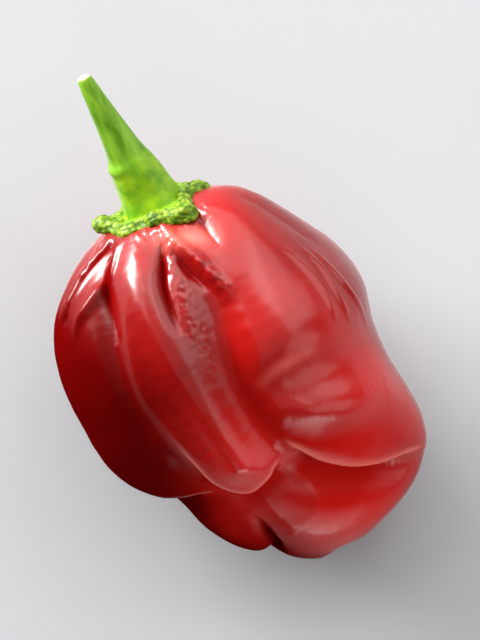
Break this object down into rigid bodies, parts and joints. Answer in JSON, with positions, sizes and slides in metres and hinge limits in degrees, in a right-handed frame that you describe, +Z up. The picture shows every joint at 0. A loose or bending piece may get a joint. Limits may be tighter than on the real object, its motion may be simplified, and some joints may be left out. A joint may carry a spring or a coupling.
{
  "type": "chocolate habanero pepper",
  "caption": "Chocolate habanero pepper with glossy lobed and folded skin, a blunt tip, a green calyx and a cut stem, lying on its side.",
  "frame": {"origin": "middle of the flat spot under the belly, on the surface that the pepper lies on", "axes": "+Y along the lying pepper towards the stem's cut end, +Z up from the surface, +X to the right seen from above"},
  "size_m": [0.0405, 0.0685, 0.0335],
  "materials": {
    "skin": "glossy waxy skin, deep red",
    "green_stem": "satin green plant stem"
  },
  "bodies": {
    "root": {"pod": "skin", "calyx_stem": "green_stem"}
  },
  "joints": []
}
